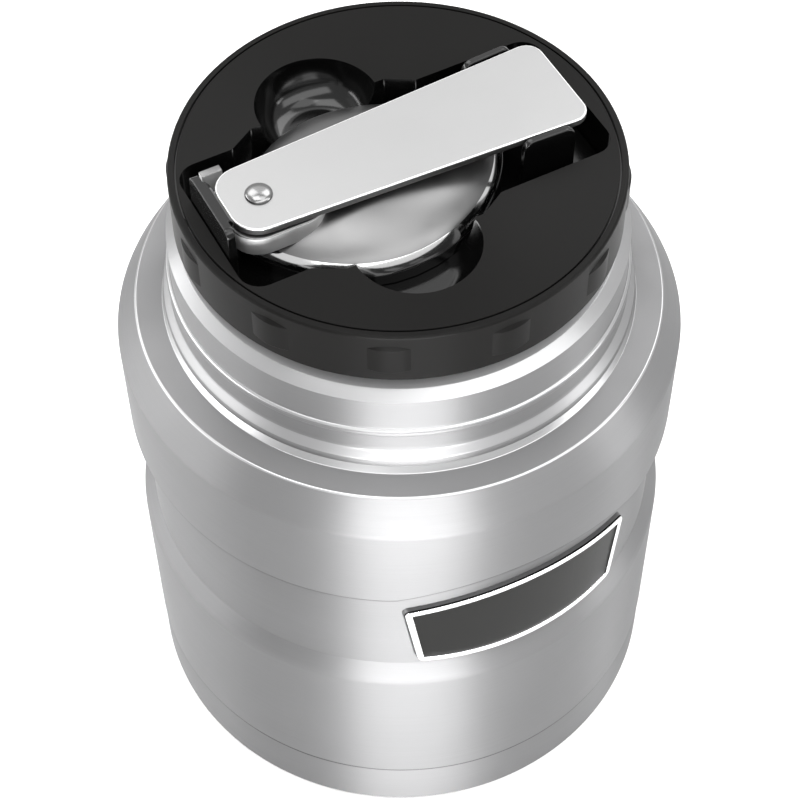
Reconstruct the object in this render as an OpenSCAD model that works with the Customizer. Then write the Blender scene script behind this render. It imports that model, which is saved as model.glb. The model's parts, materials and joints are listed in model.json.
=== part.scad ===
// Vacuum insulated food jar with a screw stopper and a folding spoon clipped into it.
// Millimetres. Z is up, the origin is the centre of the base, -Y is the badge side and
// the spoon's handle lies along X with its pivot at -X.

/* [Jar body] */
// Outer diameter of the lower body
body_d = 94; // [88:0.5:104]
// Height of the mouth's lip above the base
jar_h = 111.5; // [106:0.5:130]
// Height of the separate base cup
base_h = 12; // [8:0.5:18]
// Thickness of the steel sheet
sheet_t = 0.7; // [0.5:0.05:0.9]
// Space between the outer shell and the inner flask at the waist
vac_gap = 2; // [1.8:0.1:4]
// Height of the waist's lower edge above the base
waist_z = 47.5; // [40:0.5:52]
// Height of the recessed waist
waist_h = 22.7; // [21:0.1:23.5]
// How far the waist lies inside the lower body
waist_depth = 2.1; // [1.2:0.1:2.4]
// Height of the slope from the waist out to the lower body
step_h = 3.3; // [2:0.1:5]
// How far the upper band stands outside the lower body
band_proud = 0; // [0:0.1:1]
// Height of the sloping shoulder above the upper band
shoulder_h = 6.2; // [4:0.2:8]
// Distance from the neck to the sloping shoulder's upper edge
ring_w = 6.5; // [4:0.1:8]

/* [Neck] */
// Inner diameter of the mouth
mouth_d = 66; // [60:0.5:72]
// Distance from the mouth to the neck's outside, which a screw-on cup fits over
neck_wall = 4; // [3.4:0.1:5]
// Height of the plain neck under the lip's bevel
neck_h = 6.4; // [5:0.1:7]
// Height of the lip's bevel
lip_h = 1.2; // [0.8:0.1:2]
// Width of the lip's bevel
lip_w = 1.8; // [1:0.1:2.4]
// Distance from the lip down to the flat ring at the top of the shoulder
neck_drop = 16.6; // [15.8:0.1:18]
// Depth of the mouth from the lip to the sealing ledge
mouth_depth = 14.6; // [13:0.2:16]
// Width of the sealing ledge
ledge_w = 1.6; // [1.2:0.1:2.4]

/* [Badge] */
// Width of the badge across its upper corners
badge_w = 41.8; // [30:0.2:46]
// Width of the badge along its lower edge
badge_low_w = 37.6; // [28:0.2:41]
// Height of the badge's sides
badge_side_h = 15.3; // [8:0.1:16]
// Rise of the badge's arched top above its upper corners
badge_rise = 3.2; // [2:0.1:6]
// Width of the badge's bright frame
badge_rim = 1.1; // [0.7:0.1:2]
// How far the frame stands off the waist
badge_t = 1.2; // [0.6:0.1:1.6]
// Rise of the arched cut-out over the badge
arch_rise = 3.8; // [1:0.1:5]
// Width of the arched cut-out over the badge
arch_w = 45; // [40:0.5:60]

/* [Stopper] */
// How far the stopper's skirt reaches past the mouth
stopper_lap = 2.6; // [1.6:0.1:3.4]
// Height of the stopper's skirt
stopper_h = 10; // [9.6:0.1:12]
// Gap between the jar's lip and the skirt
lip_gap = 2.5; // [1:0.1:4]
// Gap all round between the threaded plug and the mouth
plug_gap = 0.4; // [0.3:0.05:0.8]
// Number of raised grip pads round the skirt
grip_n = 12; // [6:1:16]
// Width of a grip pad
grip_w = 6.4; // [3:0.1:8]
// Height of a grip pad's face
grip_h = 5; // [3:0.1:6]
// How far the middle of a grip pad stands off the skirt
grip_t = 0.5; // [0.3:0.1:1]
// Wall thickness of the moulded parts
mould_t = 1.4; // [1:0.1:1.6]
// Distance from the stopper's rim to the pocket's end beside the hook
hook_wall = 3.7; // [3:0.1:8]
// Distance from the stopper's rim to the pocket's other end
pocket_wall = 4.2; // [3:0.1:8]
// Width of the pocket
pocket_w = 27.4; // [26.4:0.2:28.4]
// How far the bowl's rim reaches past the pocket into each finger dish
rim_lap = 1; // [0.4:0.1:1.6]
// Depth of the pocket
pocket_depth = 7.6; // [7.2:0.1:8]
// Radius of the two finger dishes
dish_r = 10; // [8:0.5:11]

/* [Spoon] */
// Gap between the pocket's end beside the hook and the folding handle
hook_room = 2.7; // [2.2:0.1:4]
// Gap between the handle's free end and the pocket's other end
handle_room = 2.2; // [1:0.1:6]
// Width of the handle at its pivot
handle_w = 13.6; // [11:0.1:14.2]
// Width of the handle at its free end
handle_end_w = 18.5; // [16:0.1:19]
// Thickness of the handle
handle_t = 1.3; // [1:0.1:1.8]
// Height of the handle's top above the stopper's top
handle_up = 3.8; // [3.4:0.1:5]
// Distance from the pivot to the handle's near end
pivot_in = 5.7; // [5.2:0.1:7]
// Radius of the pivot's rivet
rivet_r = 1.5; // [1:0.1:2]
// Diameter of the rivet's domed head
rivet_head_d = 4.3; // [4.1:0.1:6]
// Thickness of the washer under the handle
washer_t = 0.35; // [0.2:0.05:0.6]
// How far the bowl's tip stays short of the handle's free end
bowl_short = 11.2; // [10:0.2:16]
// Width of the bowl
bowl_w = 34.6; // [32:0.2:35]
// Depth of the bowl
bowl_h = 6.7; // [5.4:0.1:7.4]
// Thickness of the bowl's steel
bowl_t = 0.8; // [0.6:0.1:1.2]

/* [Clips] */
// Length of a side clip
clip_l = 8.9; // [6:0.1:10]
// Thickness of a clip's wall
clip_t = 1.1; // [0.8:0.1:1.4]
// Gap between a clip and the handle's edge
clip_gap = 0.3; // [0.2:0.05:0.6]
// Distance from the handle's free end to a clip's middle
clip_in = 8.2; // [6:0.1:12]
// Width of the end hook
hook_w = 13.8; // [10:0.2:14]
// Height of the hook above the handle
hook_up = 2; // [1.6:0.1:3]

/* [Hidden] */

$fn = 96;
eps = 0.01;
arc_n = 6;          // straight pieces in a small turned round
far = 20;           // how far a cutter runs past what it cuts
fit = 0.05;         // running clearance of turning pieces
loose = 0.3;        // clearance of pieces that lift past each other

// Radii of the jar
body_r = body_d / 2;
band_r = body_r + band_proud;
waist_r = body_r - waist_depth;
mouth_r = mouth_d / 2;
neck_r = mouth_r + neck_wall;
edge_r = neck_r + ring_w;
lip_r = neck_r - lip_w;
ledge_r = mouth_r - ledge_w;
flask_r = waist_r - sheet_t - vac_gap - sheet_t;

// Heights of the jar
weld_z = jar_h - lip_h;
edge_z = jar_h - neck_drop;
band_z = waist_z + waist_h;
shoulder_z = edge_z - shoulder_h;
arch_z = band_z + arch_rise;
ledge_z = jar_h - mouth_depth;
flask_turn = 9;     // height over which the flask narrows to its neck
flask_z = base_h + 4;
flask_round = 6;
step_round = 3;     // the slopes' lower ends and the shoulder's upper edge are rounded
band_round = 0.4;
slope_round = 2;
edge_round = 0.8;

// Weld of the neck's flat ring on the shell, at the ring's underside
seat_z = edge_z - sheet_t;
seat_r = edge_r + (band_r - edge_r) * sheet_t / shoulder_h;

// Turned details of the neck
bead_round = 0.8;
bead_z = weld_z - neck_h - bead_round - fit;
ridge_round = 1.5;
ridge_z = edge_z + 2.1;
ring_in = 2;        // from the neck's wall to the flat ring's inner edge

// Base
foot_lift = 2;      // height of the hollow inside the foot ring
foot_w = 5;
foot_round = 1.2;
base_t = 0.8;
base_r = body_r - 0.1;
plug_bead_r = 3;
plug_bead_h = 1.2;
getter_r = 5;
getter_h = 1.4;
shield_t = 0.2;
shield_gap = 0.3;
shield_foot = 8;

// Badge
badge_low_gap = 2.2;
badge_z = waist_z + badge_low_gap;
badge_round = 1.3;
inlay_drop = 0.4;   // how far the inlay lies below the frame

// Stopper
stopper_r = mouth_r + stopper_lap;
stopper_z = jar_h + lip_gap;
top_z = stopper_z + stopper_h;
top_round = 0.5;
floor_z = top_z - pocket_depth;
under_z = floor_z - mould_t;
skirt_in_r = stopper_r - mould_t;
plug_r = mouth_r - plug_gap;
gasket_h = 2.4;
gasket_z = ledge_z;
gasket_r = mouth_r - loose;
cover_r = ledge_r - loose;
spigot_r = cover_r - 0.7;
cover_t = 1.2;
cover_z = gasket_z - fit - cover_t;
plug_z = gasket_z + gasket_h + fit;
foam_gap = 0.1;
pocket_round = 3.5;
pocket_left = hook_wall - stopper_r;
pocket_right = stopper_r - pocket_wall;
pocket_flare = 4.4; // length over which the pocket widens
pocket_mid_l = 23.4;
dish_floor_r = 5;
dish_depth = pocket_depth - 0.8;
grip_z = stopper_z + 2.4;
grip_slope = 1.2;   // rise of a pad's upper and lower slopes for each mm inwards
grip_in = 0.1;      // how far the slopes run on inside the skirt
grip_r = rise_r(grip_w, grip_t + stopper_r - sqrt(pow(stopper_r, 2) - pow(grip_w / 2, 2)));

// Spoon
handle_top = top_z + handle_up;
handle_z = handle_top - handle_t;
handle_x = pocket_left + hook_room;
handle_l = pocket_right - handle_room - handle_x;
handle_round = 4.5;
handle_end_round = 2.8;
pivot_x = handle_x + pivot_in;
washer_z = handle_z - fit - washer_t;
tang_z = washer_z;
bowl_z = tang_z - bowl_h;
bowl_in = 1.2;      // from the handle's near end to the bowl's
bowl_left = 22;     // from the bowl's near end to its widest place
bowl_l = handle_l - bowl_in - bowl_short;
bowl_mid_x = handle_x + bowl_in + bowl_left;
bowl_right = bowl_l - bowl_left;
bowl_power = 0.7;
dome_power = 2;
dome_fall = 0.6;
bowl_segs = 40;
bowl_rings = 8;
rim_h = 0.2;        // height of the rim's upright edge
pocket_mid_x = bowl_mid_x + 0.4;
pocket_mid_w = bowl_w - rim_lap * 2;
dish_y = pocket_mid_w / 2 + 0.2;
tang_w = handle_w + 0.7;
tang_x = handle_x - 0.4;
tang_l = 15.5;
tang_t = 3.4;
tang_round = 4.6;
tab_l = 3.4;
tab_t = 1.3;
tab_y = handle_w / 2 + 0.75;
tab_h = 1.2;
rivet_head_h = 0.9;
rivet_foot_r = rivet_r + 0.8;
rivet_foot_h = 0.6;
rivet_seat = 1.6;   // thickness of the tang over the rivet's foot
washer_r = rivet_r + 1.7;

// Cradle, clips and hook
cradle_t = 1;
cradle_top = floor_z + cradle_t;
ledge_t = 1.6;
edge_tilt = atan2(handle_end_w / 2 - handle_end_round - handle_w / 2 + handle_round,
    handle_l - handle_round - handle_end_round)
  - asin((handle_round - handle_end_round) / norm([
    handle_l - handle_round - handle_end_round,
    handle_end_w / 2 - handle_end_round - handle_w / 2 + handle_round]));
clip_x = handle_x + handle_l - clip_in;
handle_edge_x = handle_x + handle_l - handle_end_round - handle_end_round * sin(edge_tilt);
handle_edge_y = handle_end_w / 2 - handle_end_round + handle_end_round * cos(edge_tilt);
clip_y = handle_edge_y - (handle_edge_x - clip_x) * tan(edge_tilt) + clip_gap;
clip_round = 1.8;
clip_up = 0.2;
hook_t = 1.3;
hook_lip = handle_x - loose;
hook_lip_w = 8.8;
hook_lip_t = 1.6;
hook_top = handle_top + hook_up;

// Points of an arc about c, from angle a to angle b
function arc(c, r, a, b, n = arc_n) =
  [for (i = [0 : n]) c + r * [cos(a + (b - a) * i / n), sin(a + (b - a) * i / n)]];

// Outline of a rectangle with rounded corners
function rounded(x0, x1, y0, y1, r) = concat(
  arc([x1 - r, y1 - r], r, 0, 90),
  arc([x0 + r, y1 - r], r, 90, 180),
  arc([x0 + r, y0 + r], r, 180, 270),
  arc([x1 - r, y0 + r], r, 270, 360));

// Points of a round of radius r at the corner b between a and c
function corner(a, b, c, r) =
  let (u = (a - b) / norm(a - b), v = (c - b) / norm(c - b),
       half = acos(u * v) / 2,
       mid = b + (u + v) / norm(u + v) * r / sin(half),
       p = b + u * r / tan(half) - mid,
       q = b + v * r / tan(half) - mid,
       from = atan2(p[1], p[0]))
    arc(mid, r, from, from + atan2(p[0] * q[1] - p[1] * q[0], p * q));

// Radius of the circle through a chord's ends and its raised middle
function rise_r(w, rise) = (w * w / 4 + rise * rise) / (2 * rise);

module ring(r0, r1, z0, z1) {
  translate([0, 0, z0])
    difference() {
      cylinder(r = r1, h = z1 - z0);
      translate([0, 0, -1]) cylinder(r = r0, h = z1 - z0 + 2);
    }
}

// ---- Jar ----

module outer_shell() {
  seam = [body_r, base_h];
  step = [body_r, waist_z - step_h];
  outside = concat(
    [seam],
    corner(seam, step, [waist_r, waist_z], step_round),
    [[waist_r, waist_z], [waist_r, band_z]],
    arc([band_r - band_round, band_z + band_round], band_round, -90, 0),
    corner([band_r, band_z], [band_r, shoulder_z], [edge_r, edge_z], slope_round),
    [[seat_r, seat_z]]);
  inside = [
    [edge_r - edge_round, seat_z],
    [band_r - sheet_t, shoulder_z],
    [band_r - sheet_t, arch_z + 2 * sheet_t],
    [waist_r - sheet_t, arch_z + sheet_t],
    [waist_r - sheet_t, waist_z - sheet_t],
    [body_r - sheet_t, waist_z - step_h - sheet_t],
    [body_r - sheet_t, base_h]];
  color("silver")
    difference() {
      rotate_extrude() polygon(concat(outside, inside));
      arch_cut();
    }
}

// The upper band's lower edge rises in an arch over the badge
module arch_cut() {
  r = rise_r(arch_w, arch_rise);
  intersection() {
    ring(waist_r, band_r + far, band_z - far / 4, arch_z + 1);
    translate([0, 0, arch_z - r])
      rotate([90, 0, 0]) cylinder(r = r, h = band_r + far);
  }
}

// Neck with the flat ring at its foot, welded on the shell's open top
module shell_neck() {
  ring_edge = [neck_r + ring_in, edge_z];
  outside = concat(
    [[seat_r, seat_z]],
    corner([seat_r, seat_z], [edge_r, edge_z], ring_edge, edge_round),
    [ring_edge],
    arc([neck_r + 0.2, ridge_z], ridge_round, -50, 70),
    [[neck_r + 0.3, bead_z - bead_round]],
    arc([neck_r - 0.1, bead_z], bead_round, -60, 80),
    [[neck_r, bead_z + bead_round], [neck_r, weld_z]]);
  inside = [[neck_r - sheet_t, weld_z], [neck_r - sheet_t, seat_z]];
  color("silver") rotate_extrude() polygon(concat(outside, inside));
}

module inner_flask() {
  neck_foot = ledge_z - flask_turn;
  inside = concat(
    [[0, flask_z]],
    arc([flask_r - flask_round, flask_z + flask_round], flask_round, -90, 0),
    [[flask_r, neck_foot], [flask_r - 2, neck_foot + flask_turn * 0.5],
     [ledge_r + 2, ledge_z - 3.2], [ledge_r, ledge_z - 2],
     [ledge_r, ledge_z], [mouth_r, ledge_z], [mouth_r, jar_h]]);
  t = sheet_t;
  outside = concat(
    [[lip_r, jar_h], [neck_r, weld_z], [mouth_r + t, weld_z], [mouth_r + t, ledge_z - t],
     [ledge_r + t, ledge_z - t], [ledge_r + t, ledge_z - 2 + t / 2],
     [ledge_r + 2 + t / 2, ledge_z - 3.2 + t], [flask_r - 2 + t / 2, neck_foot + flask_turn * 0.5 + t],
     [flask_r + t, neck_foot + t / 2]],
    arc([flask_r - flask_round, flask_z + flask_round], flask_round + t, 0, -90),
    [[0, flask_z - t]]);
  color("gainsboro") rotate_extrude() polygon(concat(inside, outside));
}

module base_cup() {
  hollow_r = base_r - foot_round - foot_w;
  t = base_t;
  profile = concat(
    [[0, foot_lift], [hollow_r - foot_lift, foot_lift], [hollow_r, 0], [base_r - foot_round, 0]],
    arc([base_r - foot_round, foot_round], foot_round, -90, 0),
    [[base_r, base_h], [base_r - t, base_h], [base_r - t, foot_round + t],
     [base_r - foot_round - t, t], [hollow_r + t / 2, t],
     [hollow_r - foot_lift + t / 2, foot_lift + t], [0, foot_lift + t]]);
  color("silver") rotate_extrude() polygon(profile);
}

module vacuum_base() {
  color("silver")
    translate([0, 0, base_h]) cylinder(r = body_r - sheet_t, h = sheet_t);
}

module vacuum_plug() {
  color("gray")
    translate([0, 0, base_h - plug_bead_h]) cylinder(r1 = plug_bead_r * 0.7, r2 = plug_bead_r, h = plug_bead_h);
}

module getter() {
  color("dimgray")
    translate([0, 0, flask_z - sheet_t - getter_h]) cylinder(r = getter_r, h = getter_h);
}

module heat_shield() {
  r = flask_r + sheet_t + shield_gap;
  color("peru") ring(r, r + shield_t, flask_z + shield_foot, ledge_z - flask_turn - shield_foot / 2);
}

// Outline of the badge, shrunk all round by an inset
module badge_outline(inset) {
  r = rise_r(badge_w, badge_rise);
  side = badge_z + badge_side_h;
  half = asin(badge_w / 2 / r);
  offset(r = badge_round) offset(delta = -inset - badge_round)
    polygon(concat(
      [[-badge_low_w / 2, badge_z], [badge_low_w / 2, badge_z]],
      arc([0, side + badge_rise - r], r, 90 - half, 90 + half, 16)));
}

module badge_solid(inset, thick) {
  intersection() {
    ring(waist_r, waist_r + thick, badge_z - 1, arch_z);
    rotate([90, 0, 0]) linear_extrude(height = band_r + far) badge_outline(inset);
  }
}

module badge_frame() {
  color("white")
    difference() {
      badge_solid(0, badge_t);
      rotate([90, 0, 0]) linear_extrude(height = band_r + far) badge_outline(badge_rim);
    }
}

module badge_inlay() {
  color("darkslategray") badge_solid(badge_rim, badge_t - inlay_drop);
}

// ---- Stopper ----

module seal_gasket() {
  color("gray") ring(spigot_r + fit, gasket_r, gasket_z, gasket_z + gasket_h);
}

// Outline of the spoon's pocket, grown all round by an amount
module pocket_outline(grow) {
  half = pocket_mid_l / 2 + pocket_flare;
  offset(delta = grow)
    union() {
      polygon(rounded(pocket_left, pocket_right, -pocket_w / 2, pocket_w / 2, pocket_round));
      polygon([
        [pocket_mid_x - half, -pocket_w / 2], [pocket_mid_x - half + pocket_flare, -pocket_mid_w / 2],
        [pocket_mid_x + half - pocket_flare, -pocket_mid_w / 2], [pocket_mid_x + half, -pocket_w / 2],
        [pocket_mid_x + half, pocket_w / 2], [pocket_mid_x + half - pocket_flare, pocket_mid_w / 2],
        [pocket_mid_x - half + pocket_flare, pocket_mid_w / 2], [pocket_mid_x - half, pocket_w / 2]]);
    }
}

module finger_dish() {
  side = [for (i = [0 : arc_n])
    [dish_floor_r + (dish_r - dish_floor_r) * cos(90 - 90 * i / arc_n),
     top_z - dish_depth * sin(90 - 90 * i / arc_n)]];
  rotate_extrude()
    polygon(concat([[0, top_z - dish_depth]], side, [[dish_r, top_z + 1], [0, top_z + 1]]));
}

// Drum whose outermost strip is a grip pad: flush with the skirt at both ends
module grip_pad() {
  slope_w = grip_t + grip_in;
  slope_h = slope_w * grip_slope;
  translate([stopper_r + grip_t - grip_r, 0, grip_z - slope_h])
    rotate_extrude() polygon([
      [0, 0], [grip_r - slope_w, 0], [grip_r, slope_h], [grip_r, slope_h + grip_h],
      [grip_r - slope_w, slope_h * 2 + grip_h], [0, slope_h * 2 + grip_h]]);
}

module stopper_top() {
  profile = concat(
    [[0, under_z], [skirt_in_r, under_z], [skirt_in_r, stopper_z], [stopper_r, stopper_z]],
    arc([stopper_r - top_round, top_z - top_round], top_round, 0, 90),
    [[0, top_z]]);
  color([0.13, 0.13, 0.13])
    difference() {
      union() {
        rotate_extrude() polygon(profile);
        for (i = [0 : grip_n - 1]) rotate(i * 360 / grip_n - 90) grip_pad();
      }
      translate([0, 0, floor_z]) linear_extrude(height = far) pocket_outline(0);
      for (side = [-1, 1]) translate([pocket_mid_x, side * dish_y, 0]) finger_dish();
      stopper_hollow();
    }
}

// Space inside the moulded top, round the pocket and the dishes
module stopper_hollow() {
  difference() {
    translate([0, 0, under_z - eps]) cylinder(r = skirt_in_r, h = top_z - mould_t - under_z);
    translate([0, 0, under_z - 1]) linear_extrude(height = far) pocket_outline(mould_t);
    for (side = [-1, 1]) translate([pocket_mid_x, side * dish_y, under_z - 1])
      cylinder(r = dish_r + mould_t, h = far);
    translate([0, 0, under_z - 1]) cylinder(r = plug_r - mould_t * 2, h = mould_t + 1);
  }
}

module stopper_plug() {
  r = plug_r - mould_t;
  color([0.2, 0.2, 0.2])
    difference() {
      union() {
        translate([0, 0, plug_z]) cylinder(r = plug_r, h = under_z - plug_z);
        translate([0, 0, cover_z + cover_t]) cylinder(r = spigot_r, h = plug_z - cover_z - cover_t + eps);
      }
      translate([0, 0, plug_z + mould_t]) cylinder(r = r, h = far * 2);
    }
}

module stopper_foam() {
  z = plug_z + mould_t + foam_gap;
  color("ivory")
    translate([0, 0, z]) cylinder(r = plug_r - mould_t - foam_gap, h = under_z - foam_gap - z);
}

module plug_cover() {
  color([0.2, 0.2, 0.2])
    translate([0, 0, cover_z]) cylinder(r1 = cover_r - 0.6, r2 = cover_r, h = cover_t);
}

module spoon_cradle() {
  color([0.1, 0.1, 0.1])
    union() {
      translate([0, 0, floor_z]) linear_extrude(height = cradle_t) pocket_outline(-loose);
      translate([0, 0, cradle_top - eps])
        linear_extrude(height = bowl_z - fit * 2 - cradle_top + eps)
          difference() {
            polygon(bowl_ring(1));
            polygon(bowl_ring(1 - ledge_t * 2 / bowl_w));
          }
    }
}

module side_clip() {
  h = handle_top + clip_up - cradle_top;
  translate([clip_x, clip_y, cradle_top])
    rotate(edge_tilt)
      translate([0, clip_t, 0]) rotate([90, 0, 0]) linear_extrude(height = clip_t)
        polygon(concat(
          [[-clip_l / 2, 0], [clip_l / 2, 0]],
          arc([clip_l / 2 - clip_round, h - clip_round], clip_round, 0, 90),
          arc([clip_round - clip_l / 2, h - clip_round], clip_round, 90, 180)));
}

module clip_front() {
  color([0.1, 0.1, 0.1]) mirror([0, 1, 0]) side_clip();
}

module clip_back() {
  color([0.1, 0.1, 0.1]) side_clip();
}

module end_hook() {
  x0 = pocket_left + loose / 2;
  x1 = x0 + hook_t;
  color([0.1, 0.1, 0.1])
    union() {
      translate([x0, -hook_w / 2, cradle_top])
        cube([hook_t, hook_w, hook_top - cradle_top]);
      translate([0, hook_lip_w / 2, 0]) rotate([90, 0, 0]) linear_extrude(height = hook_lip_w)
        polygon([
          [x1 - eps, hook_top], [x1 + 0.3, hook_top], [hook_lip, hook_top - hook_lip_t * 0.6],
          [hook_lip, hook_top - hook_lip_t], [x1 - eps, hook_top - hook_lip_t]]);
    }
}

// ---- Spoon ----

// Half width of the bowl's rim at a share s of its half length
function bowl_half(s) = bowl_w / 2 * pow(max(1 - s * s, 0), bowl_power);

// Rim outline of the bowl, scaled by k
function bowl_ring(k) = [for (i = [0 : bowl_segs - 1])
  let (a = 360 * i / bowl_segs,
       s = cos(a),
       x = s * (s < 0 ? bowl_left : bowl_right))
    [bowl_mid_x + k * x, k * (sin(a) < 0 ? -1 : 1) * bowl_half(s)]];

// Height of the dome at a share k of its outline
function dome(k, h) = h * pow(1 - pow(k, dome_power), dome_fall);

// Closed dome over the rim outline scaled by k0, from a height z up to h above the rim's edge
module dome_solid(k0, h, z) {
  n = bowl_segs;
  rings = [for (j = [0 : bowl_rings - 1]) cos(90 * j / bowl_rings)];
  pts = concat(
    [for (p = bowl_ring(k0)) [p[0], p[1], z]],
    [for (k = rings, p = bowl_ring(k0 * k)) [p[0], p[1], bowl_z + rim_h + dome(k, h)]],
    [[bowl_mid_x, 0, bowl_z + rim_h + h]]);
  last = bowl_rings * n;
  polyhedron(points = pts, convexity = 4, faces = concat(
    [[for (i = [0 : n - 1]) i]],
    [for (j = [0 : bowl_rings - 1], i = [0 : n - 1])
      [j * n + i, (j + 1) * n + i, (j + 1) * n + (i + 1) % n, j * n + (i + 1) % n]],
    [for (i = [0 : n - 1]) [last + i, len(pts) - 1, last + (i + 1) % n]]));
}

module spoon_bowl() {
  color("silver")
    difference() {
      union() {
        dome_solid(1, bowl_h - rim_h - eps, bowl_z);
        translate([0, 0, tang_z - tang_t]) linear_extrude(height = tang_t)
          polygon(rounded(tang_x, tang_x + tang_l, -tang_w / 2, tang_w / 2, tang_round));
        stop_tab();
      }
      dome_solid(1 - 2 * bowl_t / bowl_w, bowl_h - rim_h - bowl_t, bowl_z - 1);
      translate([pivot_x, 0, tang_z - far / 2]) cylinder(r = rivet_r, h = far);
      translate([pivot_x, 0, tang_z - rivet_seat - far]) cylinder(r = rivet_foot_r + fit, h = far);
    }
}

// Block beside the tang that the unfolded handle comes to rest against
module stop_tab() {
  x = tang_x + 0.2;
  translate([x, tab_y, tang_z - tang_t]) cube([tab_l, tab_t, tang_t + tab_h]);
  translate([x, tang_w / 2 - tang_round, tang_z - tang_t])
    cube([tab_l, tab_y - tang_w / 2 + tang_round + eps, tang_t - 0.4]);
}

module spoon_rivet() {
  z = handle_top + fit;
  foot = tang_z - rivet_seat;
  head = [for (i = [0 : arc_n])
    [rivet_head_d / 2 * cos(90 * i / arc_n), z + rivet_head_h * sin(90 * i / arc_n)]];
  color("white")
    translate([pivot_x, 0, 0]) rotate_extrude()
      polygon(concat(
        [[0, foot - rivet_foot_h], [rivet_foot_r, foot - rivet_foot_h], [rivet_foot_r, foot],
         [rivet_r, foot], [rivet_r, z]], head));
}

module spoon_washer() {
  color("lightgray")
    translate([pivot_x, 0, 0]) ring(rivet_r, washer_r, washer_z, washer_z + washer_t);
}

module spoon_handle() {
  color("whitesmoke")
    difference() {
      translate([0, 0, handle_z]) linear_extrude(height = handle_t) hull()
        for (side = [-1, 1]) {
          translate([handle_x + handle_round, side * (handle_w / 2 - handle_round)])
            circle(r = handle_round, $fn = 32);
          translate([handle_x + handle_l - handle_end_round, side * (handle_end_w / 2 - handle_end_round)])
            circle(r = handle_end_round, $fn = 32);
        }
      translate([pivot_x, 0, handle_z - 1]) cylinder(r = rivet_r + fit, h = handle_t + 2);
    }
}

outer_shell();
shell_neck();
inner_flask();
base_cup();
vacuum_base();
vacuum_plug();
getter();
heat_shield();
badge_frame();
badge_inlay();
seal_gasket();
stopper_top();
stopper_plug();
stopper_foam();
plug_cover();
spoon_cradle();
clip_front();
clip_back();
end_hook();
spoon_bowl();
spoon_rivet();
spoon_washer();
spoon_handle();
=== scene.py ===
"""Dresses the insulated food jar: turned steel body, badge, moulded stopper and folding spoon."""

import json
import math

import bmesh
import bpy
from bpy.props import FloatProperty, FloatVectorProperty, IntProperty, PointerProperty
from bpy.types import Operator, Panel, PropertyGroup
from mathutils import Matrix, Quaternion, Vector


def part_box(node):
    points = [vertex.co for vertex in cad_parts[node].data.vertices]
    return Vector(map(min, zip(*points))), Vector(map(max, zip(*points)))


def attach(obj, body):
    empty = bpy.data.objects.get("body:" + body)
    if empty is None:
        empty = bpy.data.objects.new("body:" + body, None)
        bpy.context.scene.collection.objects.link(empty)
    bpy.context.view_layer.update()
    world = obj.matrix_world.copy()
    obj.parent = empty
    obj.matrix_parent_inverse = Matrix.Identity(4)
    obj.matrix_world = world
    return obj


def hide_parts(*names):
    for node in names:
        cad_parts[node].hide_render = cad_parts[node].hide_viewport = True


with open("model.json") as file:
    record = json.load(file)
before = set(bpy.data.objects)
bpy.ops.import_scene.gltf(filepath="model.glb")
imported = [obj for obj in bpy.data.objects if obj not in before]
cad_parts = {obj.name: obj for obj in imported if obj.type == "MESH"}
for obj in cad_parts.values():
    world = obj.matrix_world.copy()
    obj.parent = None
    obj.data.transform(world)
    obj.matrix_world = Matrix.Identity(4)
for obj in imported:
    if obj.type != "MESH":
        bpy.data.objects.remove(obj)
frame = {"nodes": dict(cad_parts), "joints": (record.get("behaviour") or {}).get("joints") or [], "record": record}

bl_info = {
    "name": "Food Jar",
    "version": (1, 0, 0),
    "blender": (4, 5, 0),
    "location": "View3D > Sidebar > Food Jar",
    "description": "Builds the visible pieces and finishes of an insulated food jar on its frame",
    "category": "Add Mesh",
}

MM = 0.001
FULL_TURN = 2 * math.pi
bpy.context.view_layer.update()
NEAR = 1e-5  # heights or radii that differ by less, in metres, count as the same
MERGE = 1e-6  # corners closer than this, in metres, become one
POLE_MERGE = 1e-7  # the same for a turned piece
LEVEL = 0.97  # upward part of the normal past which a face counts as level


# ---- What the frame gives ----

def low(node):
    """Lowest corner of a frame node."""
    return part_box(node)[0]


def high(node):
    """Highest corner of a frame node."""
    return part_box(node)[1]


def neck_radius():
    """Radius of the neck that the serving cup screws on."""
    mounts = frame["record"]["mounts"]
    return next(m for m in mounts if m["name"] == "cup_neck")["dims"]["r_mm"] * MM


def pivot():
    """Where the spoon's rivet stands, in x and y."""
    return next(j for j in frame["joints"] if j["name"] == "spoon_fold")["pos_m"][:2]


# ---- Settings ----

def length(name, description, millimetres):
    """A length, as a property."""
    return FloatProperty(
        name=name, description=description, default=millimetres * MM, min=0.0, precision=5,
        unit="LENGTH")


def paint(name, description, default):
    """A colour, as a property."""
    return FloatVectorProperty(
        name=name, description=description, default=default, size=3, min=0.0, max=1.0,
        subtype="COLOR")


def bearing(name, description, degrees):
    """An angle, as a property."""
    return FloatProperty(
        name=name, description=description, default=math.radians(degrees), unit="ROTATION")


def radiance(name, description, default):
    """How bright a light is, as a property."""
    return FloatProperty(name=name, description=description, default=default, min=0.0)


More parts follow.
